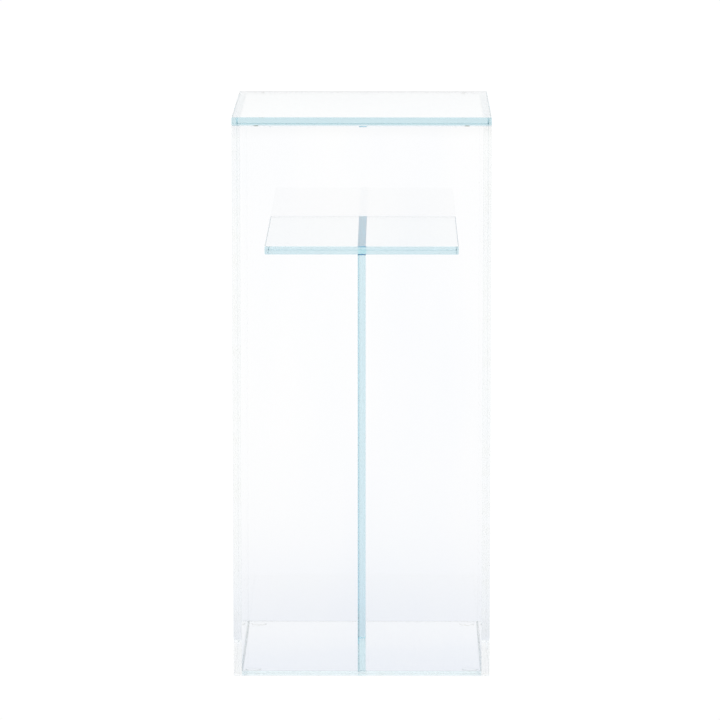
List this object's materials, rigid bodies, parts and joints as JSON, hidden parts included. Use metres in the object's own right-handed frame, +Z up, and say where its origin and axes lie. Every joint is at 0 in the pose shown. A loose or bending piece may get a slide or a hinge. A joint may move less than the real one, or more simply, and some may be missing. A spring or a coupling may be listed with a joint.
{
  "type": "aquarium on stand",
  "caption": "Tall frameless all-glass aquarium with a flush lift-off cover glass and a T-shaped glass stand inside that carries a shelf.",
  "frame": {"origin": "middle of the footprint, on the surface that the aquarium stands on", "axes": "+Z up, +X to the right as seen from the front, the front faces -Y"},
  "size_m": [0.32, 0.32, 0.703],
  "materials": {
    "clear_wall_glass": "polished float glass, low in iron",
    "cyan_edge_glass": "polished float glass, cyan at its edges",
    "clear_silicone": "clear, smooth",
    "clear_rubber": "clear, satin"
  },
  "bodies": {
    "tank": {"front_pane": "clear_wall_glass", "back_pane": "clear_wall_glass", "left_pane": "clear_wall_glass", "right_pane": "clear_wall_glass", "base_pane": "clear_wall_glass", "stand_upright": "cyan_edge_glass", "stand_shelf": "cyan_edge_glass", "seam_front_left": "clear_silicone", "seam_front_right": "clear_silicone", "seam_back_left": "clear_silicone", "seam_back_right": "clear_silicone", "seam_floor": "clear_silicone", "seam_stand_foot": "clear_silicone", "seam_stand_shelf": "clear_silicone", "cover_bumpers": "clear_rubber", "foot_pads": "clear_rubber"},
    "cover": {"cover_glass": "cyan_edge_glass"}
  },
  "joints": [
    {"name": "cover_lift", "type": "slide", "parent": "tank", "child": "cover", "axis": [0, 0, 1], "range_m": [0, 0.3]}
  ]
}
